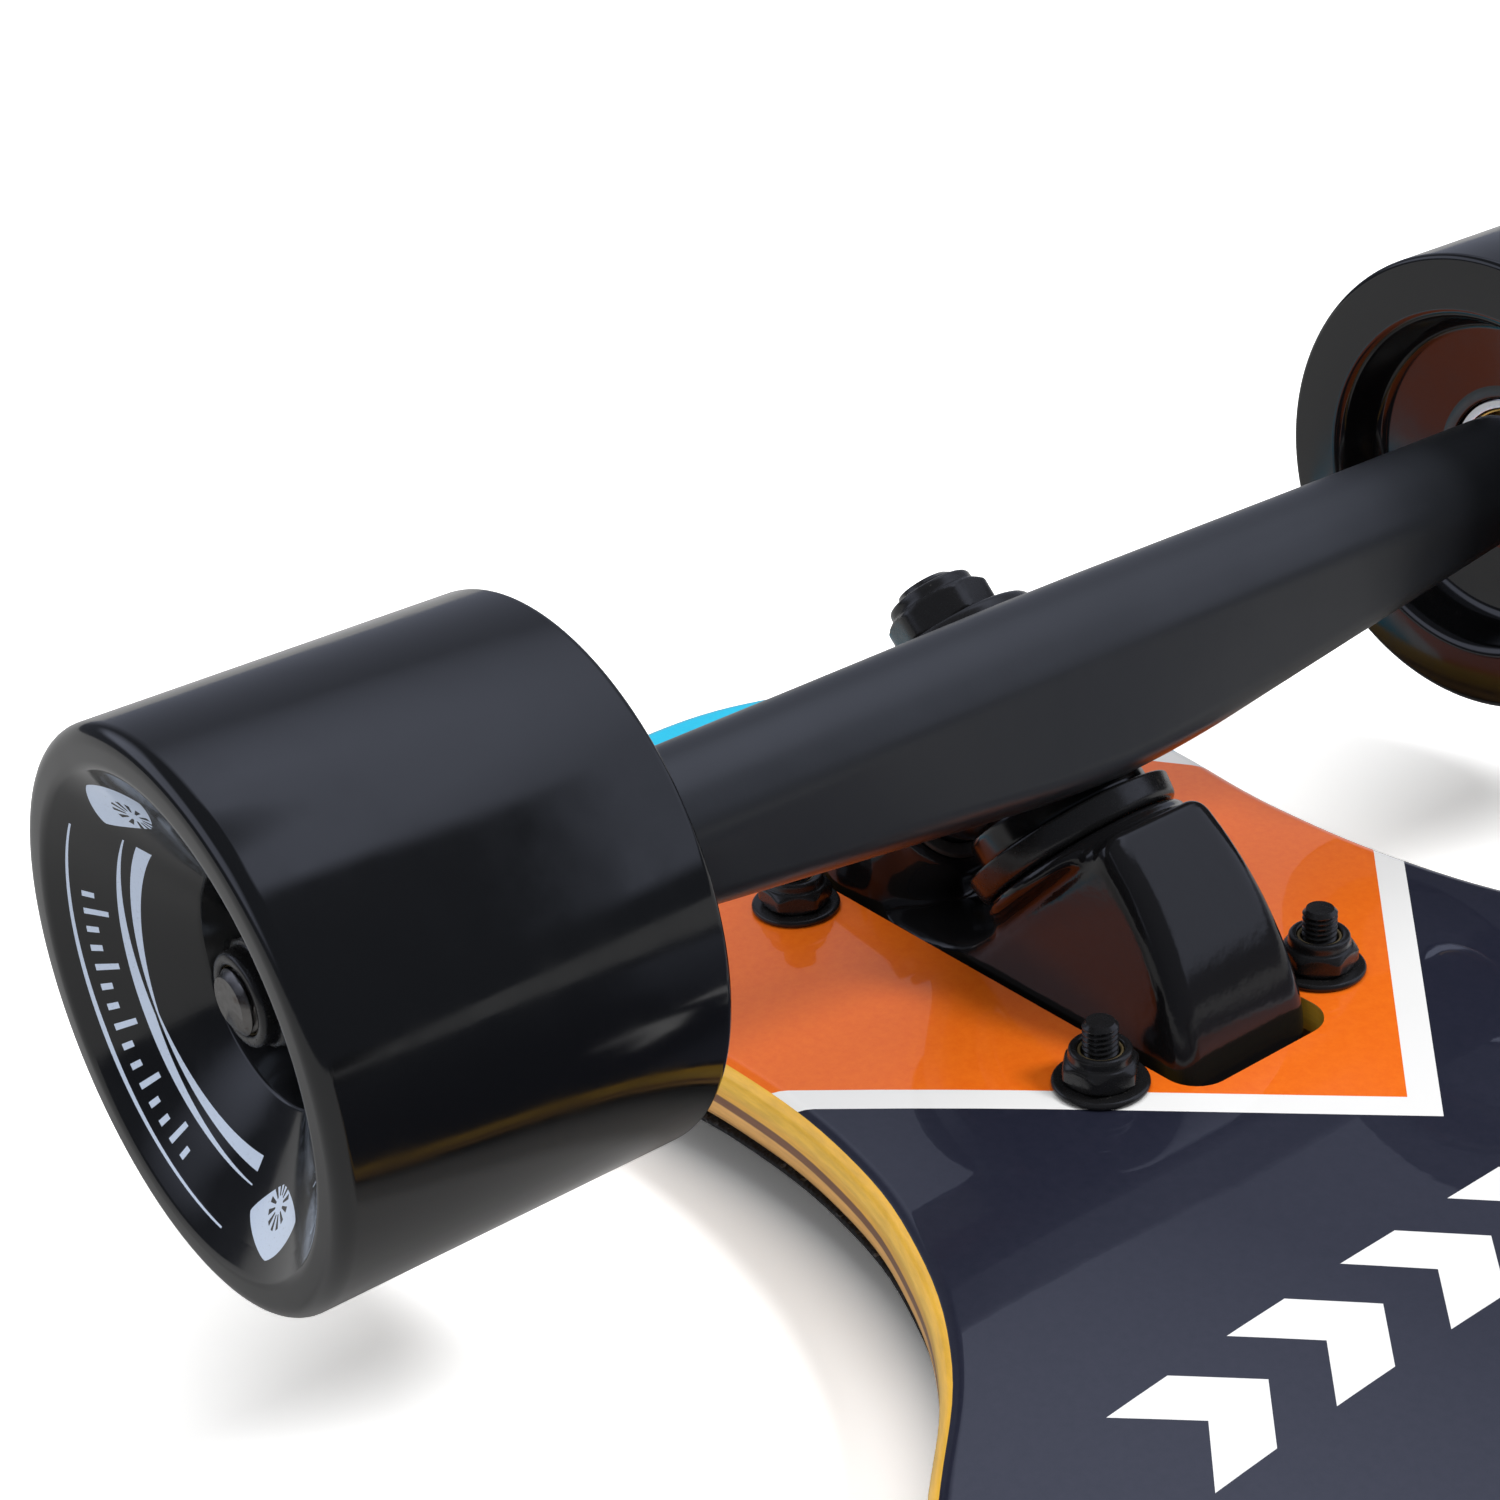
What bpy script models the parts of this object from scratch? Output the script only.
"""Drop-through longboard lying upside down on its grip side. Blender 4.5, metres, +Z up.

+X runs along the board, +Y across it, and z = 0 is the surface that the board rests on.
Each truck is drawn in two frames of its own:
- the truck frame has its origin on the flat of the deck's underside, midway between the four
  bolts, with +X toward the middle of the board;
- the hanger frame has its origin at the middle of the hanger's ring. Its X is the steering axis,
  which runs through the pivot, and its Z is the kingpin.
"""

import math

import bmesh
import bpy
from mathutils import Matrix, Vector

MM = 0.001

# Deck and grip tape
DECK_LENGTH = 1040 * MM
DECK_WIDTH = 240 * MM
PLY_COUNT = 8
PLY_THICKNESS = 1.3 * MM
DECK_THICKNESS = PLY_COUNT * PLY_THICKNESS
GRIP_THICKNESS = 0.8 * MM
TOUCH_GAP = 0.3 * MM
CONCAVE_DEPTH = 9 * MM
CONCAVE_FLAT = 24 * MM
WHEELBASE = 850 * MM
UNDERSIDE_Z = CONCAVE_DEPTH + DECK_THICKNESS + TOUCH_GAP + GRIP_THICKNESS
FLANGE_TOP = -(DECK_THICKNESS + TOUCH_GAP)

# Half of the deck's outline at one end: (distance from the truck toward mid-board, half width)
OUTLINE_MM = (
    (-95, 0),
    (-89, 25),
    (-76, 43),
    (-56, 55),
    (-36, 57),
    (-5, 54),
    (20, 55.5),
    (38, 60.5),
    (57, 71),
    (71.5, 85.5),
    (84, 99),
    (101, 111),
    (132, 118.5),
    (200, 120),
)

# Truck bolts
BOLT_SPACING_X = 63.5 * MM
BOLT_SPACING_Y = 41.3 * MM
BOLT_RADIUS = 2.4 * MM
BOLT_HOLE_RADIUS = 2.75 * MM
BOLT_TIP_Z = 12.2 * MM
BOLT_HEAD_RADIUS = 4.6 * MM
BOLT_HEAD_HEIGHT = 2.6 * MM
WASHER_SPACE = 1.5 * MM

# Baseplate
SLOT_SIZE = (84 * MM, 27.2 * MM)
SLOT_CORNER = 5 * MM
FLANGE_SIZE = (104 * MM, 58 * MM, 5 * MM)
FLANGE_CORNER = 8 * MM
CORE_HALF_WIDTH = 12.3 * MM
CORE_HALF_WIDTH_TOP = 9.6 * MM
CORE_TOP_Z = 28 * MM
CORE_END = 39 * MM
WEDGE_BACK_CENTRE = (-3 * MM, -7 * MM)
WEDGE_BACK_RADIUS = 42 * MM

# Steering geometry
STEERING_TILT = math.radians(46)
RING_CENTRE = Vector((-5.4 * MM, 0, 28.2 * MM))
AXLE_IN_HANGER = Vector((18.5 * MM, 0, 5.3 * MM))

# Stack along the kingpin, as distances from the middle of the ring
RING_HALF_THICKNESS = 4.5 * MM
SEAT_Z = -17.1 * MM
SEAT_RADIUS = 15.5 * MM
KINGPIN_RADIUS = 4.75 * MM
KINGPIN_DEPTH = 23 * MM
KINGPIN_TIP = 29.2 * MM
BUSHING_BORE = KINGPIN_RADIUS + TOUCH_GAP
CUP_WASHER = 1.4 * MM
BUSHING_LEAN = math.tan(math.radians(15.5))
KINGPIN_NUT_Z = 19 * MM

# Pivot, as distances along the steering axis from the middle of the ring
PIVOT_RIM = -22 * MM
PIVOT_TIP = -33.6 * MM
PIVOT_RADIUS = 5 * MM
PIVOT_CUP_RADIUS = 7 * MM

# Axle and wheels, as distances from the truck's middle
HANGER_HALF = 91 * MM
AXLE_RADIUS = 3.95 * MM
AXLE_HALF = 126.4 * MM
BEARING_WIDTH = 7 * MM
BEARING_RADIUS = 11 * MM
BEARING_BORE = 4.02 * MM
INBOARD_BEARING_Y = 92 * MM
OUTBOARD_BEARING_Y = 109 * MM
AXLE_NUT_Y = 117.2 * MM
WHEEL_RADIUS = 35 * MM
WHEEL_WIDTH = 51 * MM
WHEEL_INNER_Y = 82.5 * MM


def clear_scene():
    for old in list(bpy.data.objects):
        bpy.data.objects.remove(old, do_unlink=True)


def new_collection(name, hidden=False):
    collection = bpy.data.collections.new(name)
    bpy.context.scene.collection.children.link(collection)
    collection.hide_render = hidden
    return collection


clear_scene()
LONGBOARD = new_collection("longboard")
CUTTERS = new_collection("cutters", hidden=True)


def material(name, colour, roughness, metallic=0.0):
    made = bpy.data.materials.new(name)
    made.use_nodes = True
    shader = made.node_tree.nodes["Principled BSDF"]
    shader.inputs["Base Color"].default_value = (*colour, 1)
    shader.inputs["Roughness"].default_value = roughness
    shader.inputs["Metallic"].default_value = metallic
    return made


MAPLE = material("maple", (0.62, 0.36, 0.12), 0.35)
GRIT = material("grit", (0.03, 0.03, 0.03), 0.95)
PAINT = material("black_paint", (0.02, 0.02, 0.022), 0.3)
STEEL = material("black_steel", (0.05, 0.05, 0.05), 0.35, 0.8)
AXLE_STEEL = material("axle_steel", (0.4, 0.39, 0.37), 0.35, 1.0)
BEARING_STEEL = material("bearing_steel", (0.6, 0.55, 0.4), 0.25, 1.0)
BUSHING = material("bushing_urethane", (0.02, 0.02, 0.02), 0.25)
CUP = material("cup_rubber", (0.03, 0.03, 0.03), 0.7)
URETHANE = material("wheel_urethane", (0.015, 0.015, 0.017), 0.12)


def add_part(name, mesh, finish, matrix, parent=None):
    """One named part; its origin is the frame's origin, which a moving part's axis runs through."""
    part = bpy.data.objects.new(name, mesh)
    LONGBOARD.objects.link(part)
    part.data.materials.append(finish)
    if parent:
        part.parent = parent
    part.matrix_world = matrix
    return part


def add_cutter(name, mesh, matrix):
    cutter = bpy.data.objects.new(name, mesh)
    CUTTERS.objects.link(cutter)
    cutter.matrix_world = matrix
    cutter.hide_render = True
    cutter.display_type = "WIRE"
    return cutter


def boolean(part, operation, tool, solver="EXACT"):
    """Join or cut with a tool. The manifold solver is for cuts that the exact one leaves open."""
    step = part.modifiers.new(tool.name, "BOOLEAN")
    step.operation = operation
    step.solver = solver
    step.object = tool


def mesh_from(name, build):
    """A mesh filled in by build(bm)."""
    bm = bmesh.new()
    build(bm)
    bmesh.ops.recalc_face_normals(bm, faces=bm.faces)
    mesh = bpy.data.meshes.new(name)
    bm.to_mesh(mesh)
    bm.free()
    return mesh


def arc(centre, radius, start, end, count):
    """Points on an arc from one angle to another, in degrees."""
    for i in range(count + 1):
        angle = math.radians(start + (end - start) * i / count)
        yield centre[0] + radius * math.cos(angle), centre[1] + radius * math.sin(angle)


def turned_mesh(name, profile, segments):
    """A solid of revolution about Z from (radius, height) points that run round its section.

    A profile that starts and ends on the axis gives a solid body, and any other is closed
    into a ring.
    """

    def build(bm):
        points = [bm.verts.new((radius, 0, height)) for radius, height in profile]
        edges = [bm.edges.new(pair) for pair in zip(points, points[1:])]
        solid = profile[0][0] == 0 and profile[-1][0] == 0
        if not solid:
            edges.append(bm.edges.new((points[-1], points[0])))
        bmesh.ops.spin(
            bm,
            geom=points + edges,
            axis=(0, 0, 1),
            cent=(0, 0, 0),
            angle=math.tau,
            steps=segments,
            use_merge=True,
        )
        bmesh.ops.remove_doubles(bm, verts=bm.verts, dist=0.002 * MM)

    return mesh_from(name, build)


def prism_mesh(name, outline, low, high):
    """A flat outline of (x, y) points drawn up from low to high."""

    def build(bm):
        face = bm.faces.new([bm.verts.new((x, y, low)) for x, y in outline])
        grown = bmesh.ops.extrude_face_region(bm, geom=[face])["geom"]
        top = [item for item in grown if isinstance(item, bmesh.types.BMVert)]
        bmesh.ops.translate(bm, verts=top, vec=(0, 0, high - low))

    return mesh_from(name, build)


def rounded_plate_mesh(name, size_x, size_y, corner, low, high):
    """A plate centred on the origin with rounded upright corners."""

    def build(bm):
        bmesh.ops.create_cube(bm, size=1)
        bmesh.ops.scale(bm, verts=bm.verts, vec=(size_x, size_y, high - low))
        bmesh.ops.translate(bm, verts=bm.verts, vec=(0, 0, (low + high) / 2))
        upright = [e for e in bm.edges if abs(e.verts[0].co.z - e.verts[1].co.z) > size_x * 1e-6]
        bmesh.ops.bevel(bm, geom=upright, offset=corner, segments=4, profile=0.5, affect="EDGES")

    return mesh_from(name, build)


def cylinder_mesh(name, radius, low, high, segments=32):
    def build(bm):
        middle = Matrix.Translation((0, 0, (low + high) / 2))
        bmesh.ops.create_cone(
            bm,
            cap_ends=True,
            segments=segments,
            radius1=radius,
            radius2=radius,
            depth=high - low,
            matrix=middle,
        )

    return mesh_from(name, build)


def hex_nut_mesh(name, across_flats, height, collar, bore, segments=18):
    """A lock nut: a chamfered hexagon with a narrower collar on top, bored right through."""
    flat = across_flats / 2
    corner = flat / math.cos(math.pi / 6)
    hexagon_top = height - collar
    profile = [
        (bore, 0),
        (corner, 0),
        (corner, hexagon_top - (corner - flat)),
        (flat * 0.94, hexagon_top),
        (flat * 0.86, height),
        (bore, height),
    ]
    body = add_cutter(name + "_body", turned_mesh(name, profile, segments), Matrix())
    hexagon = add_cutter(name + "_hexagon", cylinder_mesh(name, corner, -height, 2 * height, 6), Matrix())
    boolean(body, "INTERSECT", hexagon)
    graph = bpy.context.evaluated_depsgraph_get()
    mesh = bpy.data.meshes.new_from_object(body.evaluated_get(graph))
    for tool in (body, hexagon):
        bpy.data.objects.remove(tool, do_unlink=True)
    return mesh


# ---------------------------------------------------------------- deck and grip tape


def rail_drop(y):
    """How far the pressed concave takes the deck toward the floor at a distance from the middle."""
    beyond = max(0.0, abs(y) - CONCAVE_FLAT)
    return CONCAVE_DEPTH * (beyond / (DECK_WIDTH / 2 - CONCAVE_FLAT)) ** 2


def outline_curve():
    """The deck's outline as a closed curve, mirrored from one quarter."""
    truck = WHEELBASE / 2
    quarter = [(truck - along * MM, half * MM) for along, half in OUTLINE_MM]
    rest_of_quarter = quarter[1:]
    half_outline = quarter + [(-x, y) for x, y in reversed(rest_of_quarter)]
    tip = (-quarter[0][0], 0)
    other_half = [(x, -y) for x, y in reversed(half_outline[1:])]
    points = [*half_outline, tip, *other_half]
    curve = bpy.data.curves.new("outline", "CURVE")
    curve.dimensions = "2D"
    curve.fill_mode = "BOTH"
    curve.resolution_u = 3
    curve.extrude = 60 * MM
    spline = curve.splines.new("BEZIER")
    spline.bezier_points.add(len(points) - 1)
    spline.use_cyclic_u = True
    for bezier, (x, y) in zip(spline.bezier_points, points):
        bezier.co = (x, y, 0)
        bezier.handle_left_type = bezier.handle_right_type = "AUTO"
    return curve


def outline_mesh():
    """The outline as an upright prism, taller than the deck."""
    holder = bpy.data.objects.new("outline", outline_curve())
    CUTTERS.objects.link(holder)
    graph = bpy.context.evaluated_depsgraph_get()
    mesh = bpy.data.meshes.new_from_object(holder.evaluated_get(graph))
    bpy.data.objects.remove(holder, do_unlink=True)
    bm = bmesh.new()
    bm.from_mesh(mesh)
    bmesh.ops.remove_doubles(bm, verts=bm.verts, dist=0.05 * MM)
    bmesh.ops.recalc_face_normals(bm, faces=bm.faces)
    bm.to_mesh(mesh)
    bm.free()
    return mesh


def slab_mesh(name, top, thickness):
    """A sheet longer than the deck whose section across the board follows the concave."""
    rows = 5
    edge = DECK_WIDTH / 2 + 5 * MM
    steps = [CONCAVE_FLAT + (edge - CONCAVE_FLAT) * i / rows for i in range(rows + 1)]
    across = [-y for y in reversed(steps)] + steps
    upper = [(y, top - rail_drop(y)) for y in across]
    lower = [(y, z - thickness) for y, z in reversed(upper)]
    section = upper + lower

    def build(bm):
        start = -(DECK_LENGTH / 2 + 10 * MM)
        face = bm.faces.new([bm.verts.new((start, y, z)) for y, z in section])
        grown = bmesh.ops.extrude_face_region(bm, geom=[face])["geom"]
        far = [item for item in grown if isinstance(item, bmesh.types.BMVert)]
        bmesh.ops.translate(bm, verts=far, vec=(-2 * start, 0, 0))

    return mesh_from(name, build)


def bolt_places():
    for x in (-BOLT_SPACING_X / 2, BOLT_SPACING_X / 2):
        for y in (-BOLT_SPACING_Y / 2, BOLT_SPACING_Y / 2):
            yield x, y


def truck_frame(end):
    """The frame of the truck at one end: end is -1 for the front truck and 1 for the rear one."""
    turn = Matrix.Rotation(math.pi if end > 0 else 0, 4, "Z")
    return Matrix.Translation((end * WHEELBASE / 2, 0, UNDERSIDE_Z)) @ turn


def build_deck(outline):
    deck = add_part("deck", slab_mesh("deck", UNDERSIDE_Z, DECK_THICKNESS), MAPLE, Matrix())
    boolean(deck, "INTERSECT", outline)
    for end in (-1, 1):
        frame = truck_frame(end)
        slot = rounded_plate_mesh("slot", *SLOT_SIZE, SLOT_CORNER, -40 * MM, 20 * MM)
        boolean(deck, "DIFFERENCE", add_cutter(f"slot_{end}", slot, frame))
        for index, (x, y) in enumerate(bolt_places()):
            hole = cylinder_mesh("hole", BOLT_HOLE_RADIUS, -40 * MM, 20 * MM, 16)
            place = frame @ Matrix.Translation((x, y, 0))
            boolean(deck, "DIFFERENCE", add_cutter(f"hole_{end}_{index}", hole, place))


def build_grip_tape(outline):
    top = UNDERSIDE_Z - DECK_THICKNESS - TOUCH_GAP
    grip = add_part("grip_tape", slab_mesh("grip_tape", top, GRIP_THICKNESS), GRIT, Matrix())
    boolean(grip, "INTERSECT", outline)
    margin = 2 * MM
    for end in (-1, 1):
        size = (FLANGE_SIZE[0] + margin, FLANGE_SIZE[1] + margin)
        window = rounded_plate_mesh("window", *size, FLANGE_CORNER, -40 * MM, 20 * MM)
        boolean(grip, "DIFFERENCE", add_cutter(f"window_{end}", window, truck_frame(end)))


# ---------------------------------------------------------------- parts fixed to the deck


def core_mesh():
    """The casting that stands up through the deck: pivot pedestal, floor and kingpin wedge."""
    seat_depth = SEAT_Z - 2 * MM
    along = Vector((math.cos(STEERING_TILT), math.sin(STEERING_TILT)))
    normal = Vector((-along.y, along.x))
    ring = Vector((RING_CENTRE.x, RING_CENTRE.z))
    seat = ring + normal * seat_depth
    foot = seat - along * 22.5 * MM
    back = list(arc(WEDGE_BACK_CENTRE, WEDGE_BACK_RADIUS, 8, 55.8, 9))
    back_foot = back[0][0]
    side = [
        (-CORE_END, FLANGE_TOP - 2 * MM),
        (-CORE_END, 3 * MM),
        (-37.5 * MM, 9 * MM),
        (-27 * MM, 9 * MM),
        (-21 * MM, foot.y),
        (foot.x, foot.y),
        *reversed(back),
        (back_foot, FLANGE_TOP - 2 * MM),
    ]

    def build(bm):
        face = bm.faces.new([bm.verts.new((x, -1, z)) for x, z in side])
        grown = bmesh.ops.extrude_face_region(bm, geom=[face])["geom"]
        far = [item for item in grown if isinstance(item, bmesh.types.BMVert)]
        bmesh.ops.translate(bm, verts=far, vec=(0, 2, 0))
        whole = [*bm.verts, *bm.edges, *bm.faces]
        bmesh.ops.bisect_plane(bm, geom=whole, plane_co=(0, 0, 0), plane_no=(0, 0, 1))
        for vert in bm.verts:
            rise = max(0.0, vert.co.z) / CORE_TOP_Z
            vert.co.y *= CORE_HALF_WIDTH + (CORE_HALF_WIDTH_TOP - CORE_HALF_WIDTH) * rise

    return mesh_from("core", build)


def along_steering_axis(hanger):
    """The hanger's frame turned so that Z runs along the steering axis."""
    return hanger @ Matrix.Rotation(math.pi / 2, 4, "Y")


def build_baseplate(name, truck, hanger):
    flange = rounded_plate_mesh(
        name, FLANGE_SIZE[0], FLANGE_SIZE[1], FLANGE_CORNER, FLANGE_TOP - FLANGE_SIZE[2], FLANGE_TOP
    )
    plate = add_part(name, flange, PAINT, truck)
    axis = along_steering_axis(hanger)
    boolean(plate, "UNION", add_cutter(name + "_core", core_mesh(), truck))
    seat = cylinder_mesh("seat", SEAT_RADIUS, SEAT_Z - 2.4 * MM, SEAT_Z)
    boolean(plate, "UNION", add_cutter(name + "_seat", seat, hanger))
    pedestal_profile = [
        (0, -38 * MM),
        (10.8 * MM, -38 * MM),
        (10.4 * MM, -34 * MM),
        (9 * MM, PIVOT_RIM - 0.8 * MM),
        (8.4 * MM, PIVOT_RIM),
        (0, PIVOT_RIM),
    ]
    pedestal = turned_mesh("pedestal", pedestal_profile, 24)
    boolean(plate, "UNION", add_cutter(name + "_pedestal", pedestal, axis))
    cup_hole = cylinder_mesh("cup_hole", PIVOT_CUP_RADIUS + 0.15 * MM, -36.3 * MM, -15 * MM, 24)
    boolean(plate, "DIFFERENCE", add_cutter(name + "_cup_hole", cup_hole, axis))
    hole = cylinder_mesh("kingpin_hole", KINGPIN_RADIUS + 0.15 * MM, SEAT_Z - KINGPIN_DEPTH, 0)
    kingpin_hole = add_cutter(name + "_kingpin_hole", hole, hanger)
    boolean(plate, "DIFFERENCE", kingpin_hole, solver="MANIFOLD")
    for index, (x, y) in enumerate(bolt_places()):
        hole = cylinder_mesh("hole", BOLT_HOLE_RADIUS, -40 * MM, 20 * MM, 16)
        bolt_hole = add_cutter(f"{name}_hole_{index}", hole, truck @ Matrix.Translation((x, y, 0)))
        boolean(plate, "DIFFERENCE", bolt_hole, solver="MANIFOLD")


def build_pivot_cup(name, hanger):
    wall = PIVOT_RADIUS + TOUCH_GAP
    bottom = PIVOT_TIP - 0.4 * MM
    profile = [
        (0, -36 * MM),
        (PIVOT_CUP_RADIUS, -36 * MM),
        (PIVOT_CUP_RADIUS, PIVOT_RIM + 0.8 * MM),
        (wall, PIVOT_RIM + 0.8 * MM),
        (wall, bottom + 2.6 * MM),
        (wall - 1.2 * MM, bottom + 0.8 * MM),
        (wall - 2.8 * MM, bottom),
        (0, bottom),
    ]
    add_part(name, turned_mesh(name, profile, 24), CUP, along_steering_axis(hanger))


def build_kingpin(name, hanger):
    foot = SEAT_Z - KINGPIN_DEPTH + 0.3 * MM
    profile = [
        (0, foot),
        (KINGPIN_RADIUS, foot),
        (KINGPIN_RADIUS, KINGPIN_TIP - 0.8 * MM),
        (KINGPIN_RADIUS - 0.8 * MM, KINGPIN_TIP),
        (0, KINGPIN_TIP),
    ]
    add_part(name, turned_mesh(name, profile, 24), STEEL, hanger)


def build_cup_washer(name, hanger, seat, rim, radius):
    """A pressed washer whose rim cups the bushing: seat is its flat side, rim the open one."""
    toward = 1 if rim > seat else -1
    profile = [
        (BUSHING_BORE, seat),
        (radius - 0.5 * MM, seat),
        (radius, rim),
        (radius - 0.8 * MM, rim),
        (radius - 1 * MM, seat + toward * CUP_WASHER),
        (BUSHING_BORE, seat + toward * CUP_WASHER),
    ]
    add_part(name, turned_mesh(name, profile, 28), STEEL, hanger)


def build_boardside_bushing(name, hanger):
    """A barrel whose end by the ring is dished, so that the ring can lean on it."""
    foot = SEAT_Z + 0.2 * MM + CUP_WASHER + 0.2 * MM
    radius = 13 * MM
    waist = 12.4 * MM
    ring_face = -(RING_HALF_THICKNESS + TOUCH_GAP)
    profile = [
        (BUSHING_BORE, foot),
        (waist - 0.6 * MM, foot),
        (waist, foot + 0.8 * MM),
        (radius, foot + 2.6 * MM),
        (radius, ring_face - BUSHING_LEAN * radius - 1 * MM),
        (radius - 0.9 * MM, ring_face - BUSHING_LEAN * radius),
        (BUSHING_BORE, ring_face - BUSHING_LEAN * BUSHING_BORE),
    ]
    add_part(name, turned_mesh(name, profile, 28), BUSHING, hanger)


def build_roadside_bushing(name, hanger):
    """A cone that narrows toward the kingpin's nut."""
    ring_face = RING_HALF_THICKNESS + TOUCH_GAP
    wide = 12 * MM
    narrow = 9.6 * MM
    top = 16.8 * MM
    profile = [
        (BUSHING_BORE, ring_face + BUSHING_LEAN * BUSHING_BORE),
        (wide - 0.8 * MM, ring_face + BUSHING_LEAN * wide),
        (wide, ring_face + BUSHING_LEAN * wide + 0.8 * MM),
        (narrow, top - 0.8 * MM),
        (narrow - 0.8 * MM, top),
        (BUSHING_BORE, top),
    ]
    add_part(name, turned_mesh(name, profile, 28), BUSHING, hanger)


def build_kingpin_nut(name, hanger):
    nut = hex_nut_mesh(name, 14.3 * MM, 9 * MM, 3 * MM, KINGPIN_RADIUS + 0.2 * MM)
    add_part(name, nut, STEEL, hanger @ Matrix.Translation((0, 0, KINGPIN_NUT_Z)))


def build_mounting_bolt(name, place):
    """A button-head bolt that comes up through the flange and the deck."""
    head_top = FLANGE_TOP - FLANGE_SIZE[2] - 0.2 * MM
    profile = [
        (0, head_top - BOLT_HEAD_HEIGHT),
        (BOLT_HEAD_RADIUS - 1.4 * MM, head_top - BOLT_HEAD_HEIGHT),
        (BOLT_HEAD_RADIUS, head_top - 0.9 * MM),
        (BOLT_HEAD_RADIUS, head_top),
        (BOLT_RADIUS, head_top),
        (BOLT_RADIUS, BOLT_TIP_Z - 0.6 * MM),
        (BOLT_RADIUS - 0.5 * MM, BOLT_TIP_Z),
        (0, BOLT_TIP_Z),
    ]
    bolt = add_part(name, turned_mesh(name, profile, 14), STEEL, place)
    socket = cylinder_mesh("socket", 1.8 * MM, -40 * MM, head_top - 0.9 * MM, 6)
    boolean(bolt, "DIFFERENCE", add_cutter(name + "_socket", socket, place))


def build_mounting_hardware(prefix, truck):
    nut = hex_nut_mesh("mounting_nut", 9.5 * MM, 6.2 * MM, 1.9 * MM, BOLT_RADIUS + 0.15 * MM, 12)
    corners = ("outer_left", "outer_right", "inner_left", "inner_right")
    for corner, (x, y) in zip(corners, bolt_places()):
        place = truck @ Matrix.Translation((x, y, 0))
        build_mounting_bolt(f"{prefix}_mounting_bolt_{corner}", place)
        above_washer = place @ Matrix.Translation((0, 0, WASHER_SPACE))
        add_part(f"{prefix}_mounting_nut_{corner}", nut.copy(), STEEL, above_washer)


# ---------------------------------------------------------------- hanger and axle


def hanger_section(bar_radius, web_drop, count=28):
    """The section across the axle: the bar and, below it toward the deck, the web's edge.

    It is the convex shape round two circles, drawn from the hanger's X and Z.
    """
    web_radius = 4 * MM
    web_x = AXLE_IN_HANGER.x - 1 * MM * web_drop
    web_z = AXLE_IN_HANGER.z - 13.9 * MM * web_drop
    for i in range(count):
        angle = math.tau * (i + 0.5) / count
        out = Vector((math.cos(angle), math.sin(angle)))
        bar = Vector((AXLE_IN_HANGER.x, AXLE_IN_HANGER.z)) + out * bar_radius
        web = Vector((web_x, web_z)) + out * web_radius
        yield max(bar, web, key=lambda point: point.dot(out))


def hanger_body_mesh(name):
    """Sections joined along the axle: straight bar at the ends, deep web at the middle."""
    stations = (
        (-HANGER_HALF, 9.0 * MM, 0),
        (-62 * MM, 9.2 * MM, 0),
        (-8 * MM, 9.7 * MM, 1),
        (8 * MM, 9.7 * MM, 1),
        (62 * MM, 9.2 * MM, 0),
        (HANGER_HALF, 9.0 * MM, 0),
    )

    def build(bm):
        loops = []
        for y, bar_radius, web_drop in stations:
            section = hanger_section(bar_radius, web_drop)
            verts = [bm.verts.new((x, y, z)) for x, z in section]
            edges = [bm.edges.new((verts[i - 1], verts[i])) for i in range(len(verts))]
            loops.append(edges)
        for loop, following in zip(loops, loops[1:]):
            bmesh.ops.bridge_loops(bm, edges=loop + following)
        bmesh.ops.holes_fill(bm, edges=loops[0] + loops[-1], sides=0)

    return mesh_from(name, build)


def build_hanger(name, hanger, pivot):
    body = add_part(name, hanger_body_mesh(name), PAINT, hanger, pivot)
    axis = along_steering_axis(hanger)
    across = hanger @ Matrix.Translation(AXLE_IN_HANGER) @ Matrix.Rotation(math.pi / 2, 4, "X")
    ring = cylinder_mesh("ring", 16.5 * MM, -RING_HALF_THICKNESS, RING_HALF_THICKNESS)
    boolean(body, "UNION", add_cutter(name + "_ring", ring, hanger))
    nose_profile = [
        (0, PIVOT_TIP),
        (PIVOT_RADIUS - 2.6 * MM, PIVOT_TIP + 0.4 * MM),
        (PIVOT_RADIUS - 0.9 * MM, PIVOT_TIP + 1.6 * MM),
        (PIVOT_RADIUS, PIVOT_TIP + 3.4 * MM),
        (PIVOT_RADIUS, -20.5 * MM),
        (7.5 * MM, -12 * MM),
        (0, -12 * MM),
    ]
    nose = turned_mesh("nose", nose_profile, 24)
    boolean(body, "UNION", add_cutter(name + "_nose", nose, axis))
    roadside = cylinder_mesh("roadside_pocket", 13.8 * MM, RING_HALF_THICKNESS, 40 * MM)
    boolean(body, "DIFFERENCE", add_cutter(name + "_roadside_pocket", roadside, hanger))
    boardside = cylinder_mesh("boardside_pocket", 15 * MM, -40 * MM, -RING_HALF_THICKNESS)
    boolean(body, "DIFFERENCE", add_cutter(name + "_boardside_pocket", boardside, hanger))
    ring_hole = cylinder_mesh("ring_hole", 7.2 * MM, -20 * MM, 20 * MM, 24)
    boolean(body, "DIFFERENCE", add_cutter(name + "_ring_hole", ring_hole, hanger))
    axle_hole = cylinder_mesh("axle_hole", AXLE_RADIUS + 0.15 * MM, -0.2, 0.2, 24)
    boolean(body, "DIFFERENCE", add_cutter(name + "_axle_hole", axle_hole, across))


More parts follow.
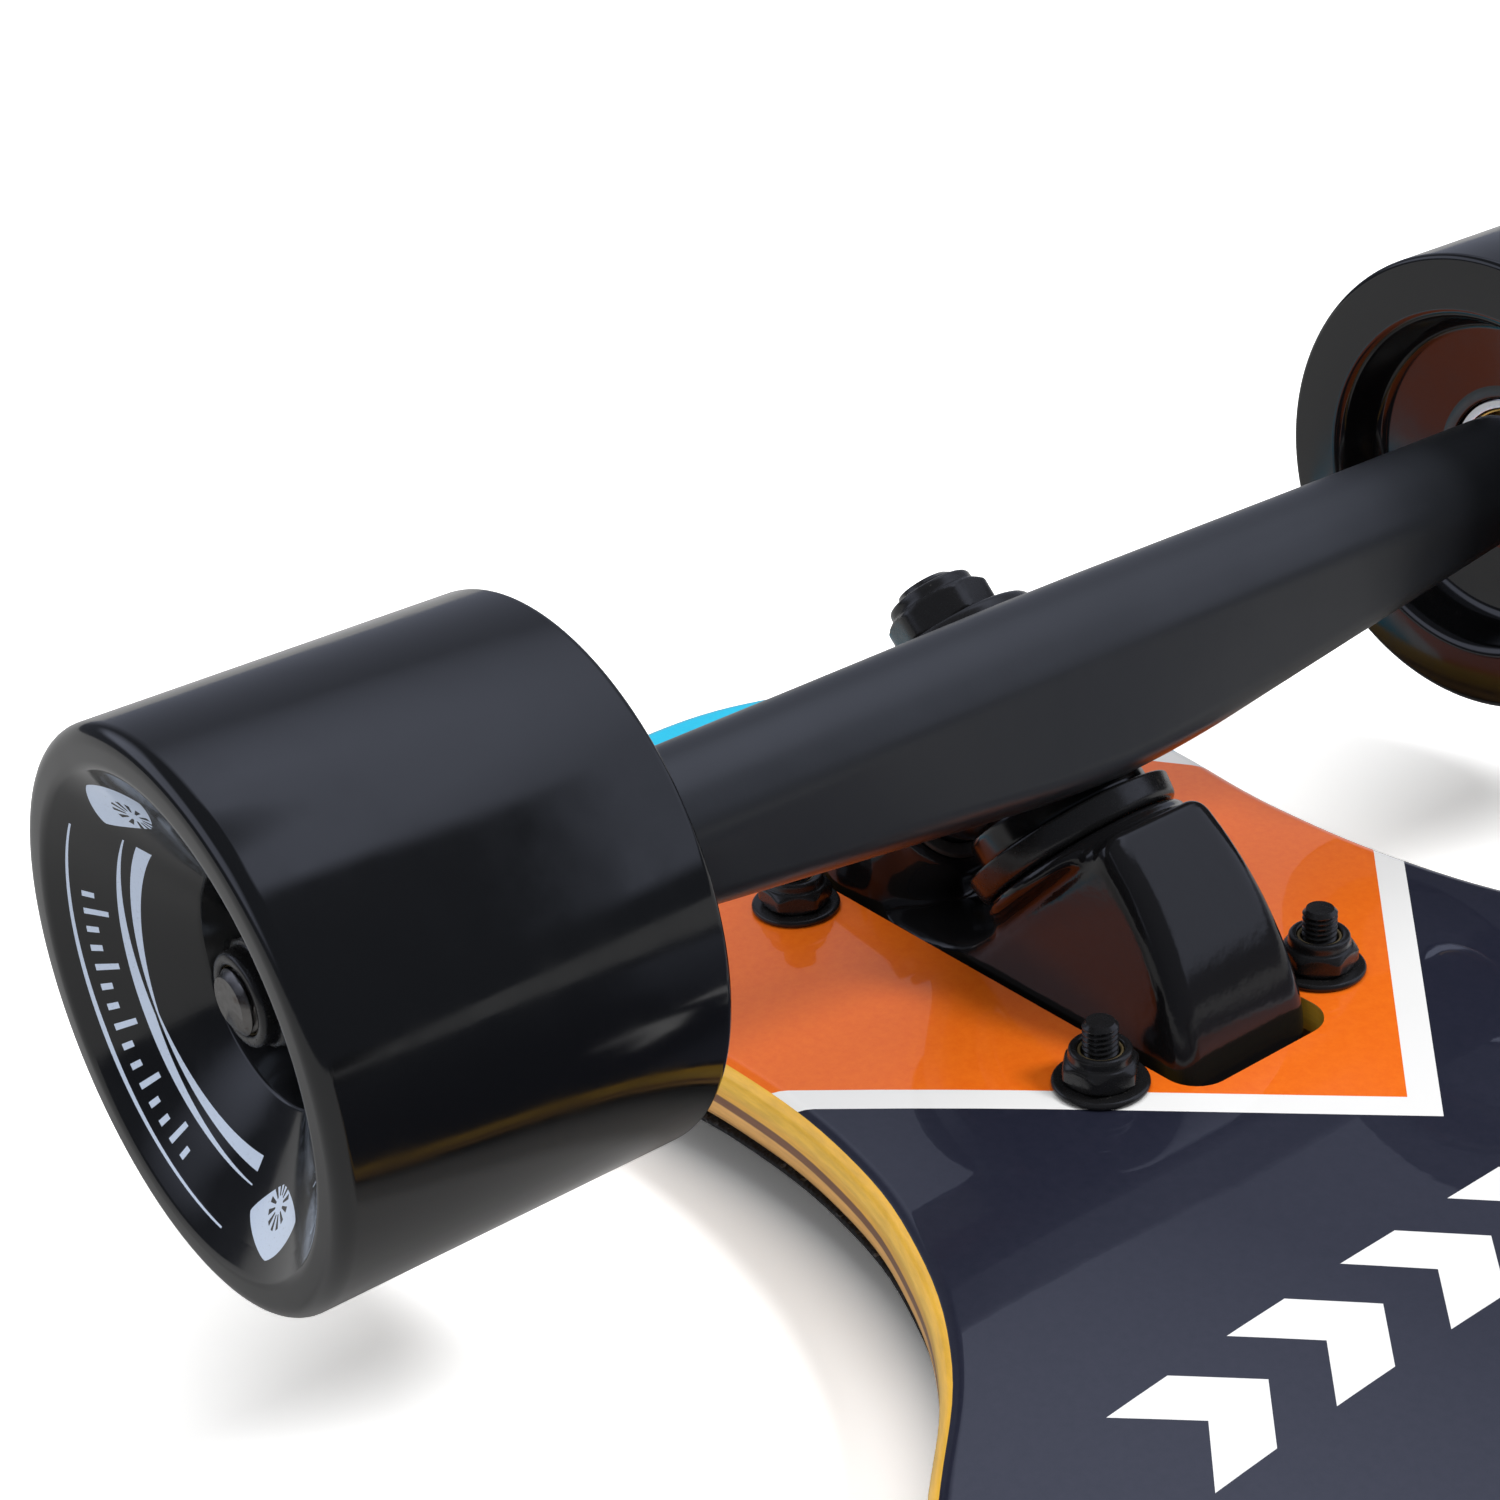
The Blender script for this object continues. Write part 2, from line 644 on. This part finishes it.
def build_axle(name, axle_frame, pivot):
    end = AXLE_HALF
    chamfer = 0.7 * MM
    profile = [
        (0, -end),
        (AXLE_RADIUS - chamfer, -end),
        (AXLE_RADIUS, -end + chamfer),
        (AXLE_RADIUS, end - chamfer),
        (AXLE_RADIUS - chamfer, end),
        (0, end),
    ]
    add_part(name, turned_mesh(name, profile, 24), AXLE_STEEL, axle_frame, pivot)


# ---------------------------------------------------------------- wheels


def wheel_profile():
    """The wheel's section: (radius, distance outward from its inner face)."""
    seat = BEARING_RADIUS + 0.05 * MM
    inboard = INBOARD_BEARING_Y - WHEEL_INNER_Y
    outboard = OUTBOARD_BEARING_Y - WHEEL_INNER_Y
    outer = WHEEL_WIDTH
    lip = 2.4 * MM
    return [
        *arc((WHEEL_RADIUS - lip, outer - lip), lip, 90, 0, 3),
        (WHEEL_RADIUS, 0.8 * MM),
        (WHEEL_RADIUS - 0.8 * MM, 0),
        (26 * MM, 0),
        (23.5 * MM, 7.5 * MM),
        (13 * MM, inboard - 0.4 * MM),
        (seat, inboard - 0.4 * MM),
        (seat, inboard + BEARING_WIDTH + 0.2 * MM),
        (9.5 * MM, inboard + BEARING_WIDTH + 0.2 * MM),
        (9.5 * MM, outboard - 0.2 * MM),
        (seat, outboard - 0.2 * MM),
        (seat, outboard + BEARING_WIDTH + 0.6 * MM),
        (12.6 * MM, outboard + BEARING_WIDTH + 0.6 * MM),
        (14.4 * MM, 39.5 * MM),
        (27.6 * MM, 48.8 * MM),
        (30.4 * MM, 50.8 * MM),
    ]


def bearing_profile(inner_y):
    """A sealed bearing's section as one solid ring."""
    return [
        (BEARING_BORE, inner_y),
        (BEARING_RADIUS, inner_y),
        (BEARING_RADIUS, inner_y + BEARING_WIDTH),
        (BEARING_BORE, inner_y + BEARING_WIDTH),
    ]


def spacer_profile():
    gap = 0.3 * MM
    low = INBOARD_BEARING_Y + BEARING_WIDTH + gap
    high = OUTBOARD_BEARING_Y - gap
    return [
        (AXLE_RADIUS + 0.15 * MM, low),
        (5.2 * MM, low),
        (5.2 * MM, high),
        (AXLE_RADIUS + 0.15 * MM, high),
    ]


def build_wheel_set(prefix, outward, axle_frame, pivot):
    """One wheel, its two bearings, the spacer between them and the axle's nut."""
    shifted_wheel = [(radius, height + WHEEL_INNER_Y) for radius, height in wheel_profile()]
    tyre = turned_mesh(prefix + "_wheel", shifted_wheel, 40)
    add_part(prefix + "_wheel", tyre, URETHANE, outward, axle_frame)
    for side, place in (("inboard", INBOARD_BEARING_Y), ("outboard", OUTBOARD_BEARING_Y)):
        name = f"{prefix}_bearing_{side}"
        bearing = turned_mesh(name, bearing_profile(place), 24)
        add_part(name, bearing, BEARING_STEEL, outward, axle_frame)
    spacer = turned_mesh(prefix + "_bearing_spacer", spacer_profile(), 20)
    add_part(prefix + "_bearing_spacer", spacer, AXLE_STEEL, outward, pivot)
    nut = hex_nut_mesh(prefix + "_axle_nut", 13 * MM, 8.2 * MM, 2.4 * MM, AXLE_RADIUS + 0.15 * MM)
    nut_place = outward @ Matrix.Translation((0, 0, AXLE_NUT_Y))
    add_part(prefix + "_axle_nut", nut, STEEL, nut_place, pivot)


# ---------------------------------------------------------------- whole truck


def add_empty(name, matrix, parent=None):
    empty = bpy.data.objects.new(name, None)
    LONGBOARD.objects.link(empty)
    empty.empty_display_size = 30 * MM
    empty.parent = parent
    empty.matrix_world = matrix
    return empty


def build_truck(prefix, end):
    truck = truck_frame(end)
    hanger = truck @ Matrix.Translation(RING_CENTRE) @ Matrix.Rotation(-STEERING_TILT, 4, "Y")
    pivot = add_empty(prefix + "_steering_axis", hanger)
    axle = hanger @ Matrix.Translation(AXLE_IN_HANGER)
    axle_empty = add_empty(prefix + "_axle_line", axle, pivot)
    bpy.context.view_layer.update()

    build_baseplate(prefix + "_baseplate", truck, hanger)
    build_pivot_cup(prefix + "_pivot_cup", hanger)
    build_kingpin(prefix + "_kingpin", hanger)
    washer_foot = SEAT_Z + 0.2 * MM
    boardside_rim = washer_foot + CUP_WASHER + 1.2 * MM
    build_cup_washer(prefix + "_washer_boardside", hanger, washer_foot, boardside_rim, 13.9 * MM)
    build_boardside_bushing(prefix + "_bushing_boardside", hanger)
    build_roadside_bushing(prefix + "_bushing_roadside", hanger)
    roadside_seat = KINGPIN_NUT_Z - 0.3 * MM
    build_cup_washer(prefix + "_washer_roadside", hanger, roadside_seat, 16 * MM, 12.4 * MM)
    build_kingpin_nut(prefix + "_kingpin_nut", hanger)
    build_mounting_hardware(prefix, truck)

    build_hanger(prefix + "_hanger", hanger, pivot)
    to_plus_y = axle @ Matrix.Rotation(-math.pi / 2, 4, "X")
    to_minus_y = axle @ Matrix.Rotation(math.pi / 2, 4, "X")
    build_axle(prefix + "_axle", to_plus_y, axle_empty)
    left, right = (to_plus_y, to_minus_y) if end < 0 else (to_minus_y, to_plus_y)
    build_wheel_set(prefix + "_left", left, axle_empty, pivot)
    build_wheel_set(prefix + "_right", right, axle_empty, pivot)


outline_tool = add_cutter("outline_prism", outline_mesh(), Matrix())
build_deck(outline_tool)
build_grip_tape(outline_tool)
build_truck("front", -1)
build_truck("rear", 1)
